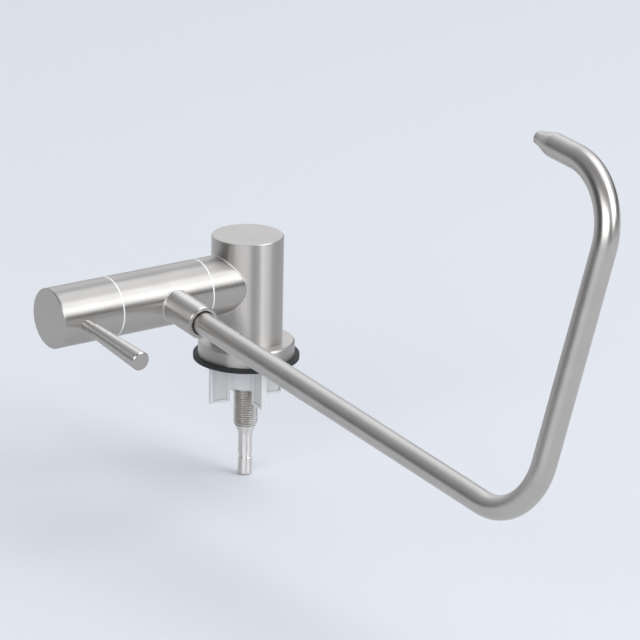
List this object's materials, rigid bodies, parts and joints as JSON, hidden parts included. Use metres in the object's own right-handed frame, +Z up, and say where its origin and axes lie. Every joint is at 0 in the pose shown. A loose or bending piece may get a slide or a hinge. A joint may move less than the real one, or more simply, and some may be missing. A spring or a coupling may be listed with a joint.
{
  "type": "folding kitchen faucet",
  "caption": "Round steel post with a side barrel that folds a slim swivelling tube spout down to the worktop, and a pin-lever cap that opens the valve.",
  "frame": {"origin": "where the post's axis meets the worktop, on the underside of the base gasket", "axes": "+Z up along the post, -X along the barrel towards the handle cap, -Y along the folded spout"},
  "size_m": [0.1259, 0.2939, 0.216],
  "materials": {
    "brushed_steel": "brushed stainless steel, satin",
    "turned_steel": "turned and threaded stainless steel, bright",
    "screw_steel": "plain steel of screws and clips",
    "brass": "turned brass, unseen inside",
    "rubber": "moulded black rubber, matt",
    "white_acetal": "turned white acetal",
    "clear_nylon": "moulded natural nylon, milky and translucent",
    "alumina": "lapped alumina ceramic"
  },
  "bodies": {
    "base": {"base_gasket": "rubber", "base_flange": "brushed_steel", "flange_screws": "screw_steel", "post": "brushed_steel", "waterway": "brass", "stem": "turned_steel", "stem_oring": "rubber", "centring_ring": "clear_nylon", "pivot_bolt": "brass", "stub_sleeve": "brass", "bolt_oring": "rubber"},
    "fold_arm": {"fold_slip_ring": "white_acetal", "pivot_bush": "white_acetal", "pivot_oring": "rubber", "friction_washer": "screw_steel", "barrel": "brushed_steel", "cartridge_seal": "rubber", "cartridge_body": "brass", "ceramic_disc_fixed": "alumina", "spindle_orings": "rubber", "handle_slip_ring": "white_acetal", "spout_wiper": "rubber", "spout_grub_screw": "screw_steel"},
    "handle": {"ceramic_disc_moving": "alumina", "cartridge_spindle": "brass", "spindle_circlip": "screw_steel", "handle_cap": "brushed_steel", "handle_insert": "brass", "lever_pin": "brushed_steel", "handle_grub_screw": "screw_steel"},
    "spout": {"spout_tail": "brass", "spout_orings": "rubber", "spout_tube": "brushed_steel"}
  },
  "joints": [
    {"name": "spout_fold", "type": "hinge", "parent": "base", "child": "fold_arm", "pos_m": [-0.026, 0, 0.0363], "axis": [-1, 0, 0], "range_deg": [0, 95]},
    {"name": "valve_turn", "type": "hinge", "parent": "fold_arm", "child": "handle", "pos_m": [-0.0722, 0, 0.0363], "axis": [-1, 0, 0], "range_deg": [0, 90]},
    {"name": "spout_swivel", "type": "hinge", "parent": "fold_arm", "child": "spout", "pos_m": [-0.04535, 0, 0.0363], "axis": [0, -0.9962, -0.0872], "continuous": true}
  ]
}
